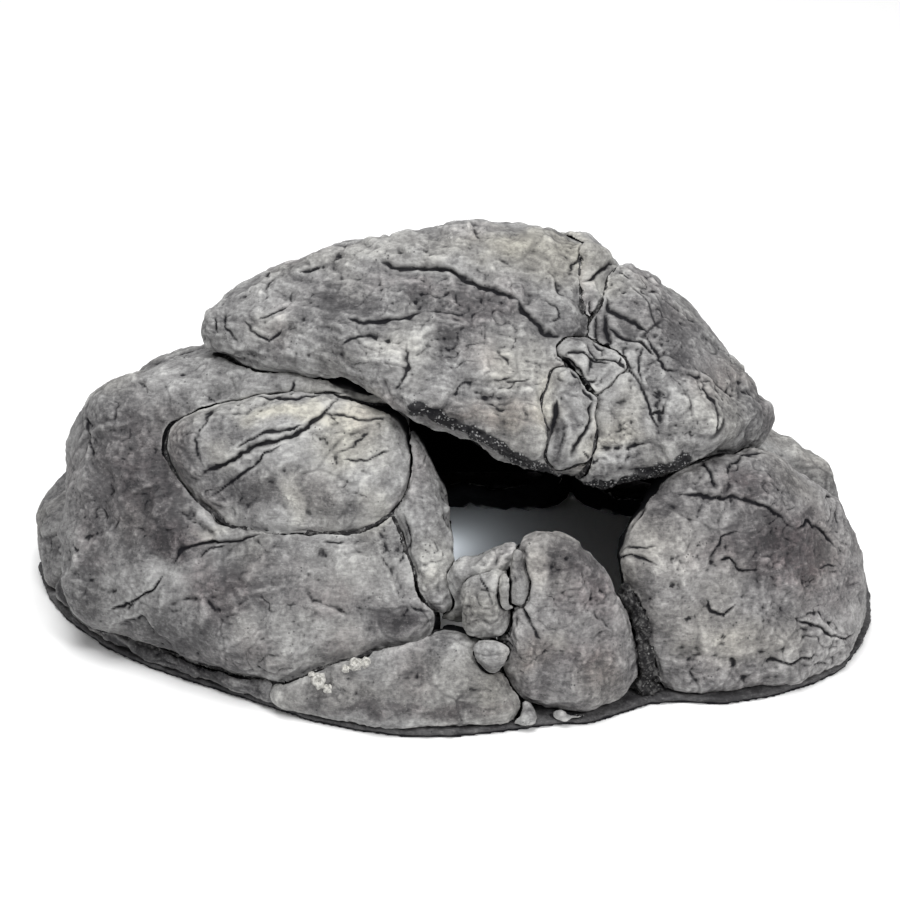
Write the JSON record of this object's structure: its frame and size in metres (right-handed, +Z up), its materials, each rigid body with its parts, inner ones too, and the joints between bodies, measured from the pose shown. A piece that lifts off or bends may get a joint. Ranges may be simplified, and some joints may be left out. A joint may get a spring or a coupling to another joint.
{
  "type": "aquarium cave ornament",
  "caption": "Hollow resin rock cave for an aquarium or pond: bonded stone castings on a flat rim, open underneath, with one front mouth.",
  "frame": {"origin": "centre of the footprint, on the face the ornament stands on", "axes": "+Z up, -Y out of the mouth towards the viewer, +X to the right as the mouth is faced"},
  "size_m": [0.4136, 0.2488, 0.1837],
  "materials": {
    "rock_grey": "hand-painted stone-filled resin, matte mid grey with dark washed cracks",
    "rock_pale": "hand-painted stone-filled resin, matte, pale dry-brushed grey with cream tints",
    "rock_brown": "hand-painted stone-filled resin, matte grey with brown and purple tints",
    "rock_dark": "rough matte resin with a dark wash",
    "joint_resin": "rough dark bonding resin"
  },
  "bodies": {
    "root": {"base_rim": "rock_dark", "roof_slab": "rock_grey", "roof_right_block": "rock_pale", "roof_crown_stone": "rock_pale", "roof_fracture_shard": "rock_grey", "roof_wedge_stone": "rock_grey", "left_boulder": "rock_grey", "left_face_slab": "rock_pale", "left_edge_shard": "rock_pale", "left_rear_stone": "rock_grey", "left_toe_ledge": "rock_dark", "front_slab": "rock_pale", "mouth_cobble": "rock_pale", "mouth_cap_stone": "rock_grey", "mouth_slivers": "rock_pale", "wedge_chip": "rock_pale", "centre_boulder": "rock_brown", "toe_pebbles": "rock_pale", "right_boulder": "rock_brown", "right_rear_stone": "rock_grey", "rear_left_boulder": "rock_grey", "rear_centre_boulder": "rock_grey", "rear_right_boulder": "rock_grey", "right_seam_putty": "joint_resin", "roof_joint_resin": "joint_resin", "left_joint_resin": "joint_resin", "front_joint_resin": "joint_resin", "rear_joint_resin": "joint_resin"}
  },
  "joints": []
}
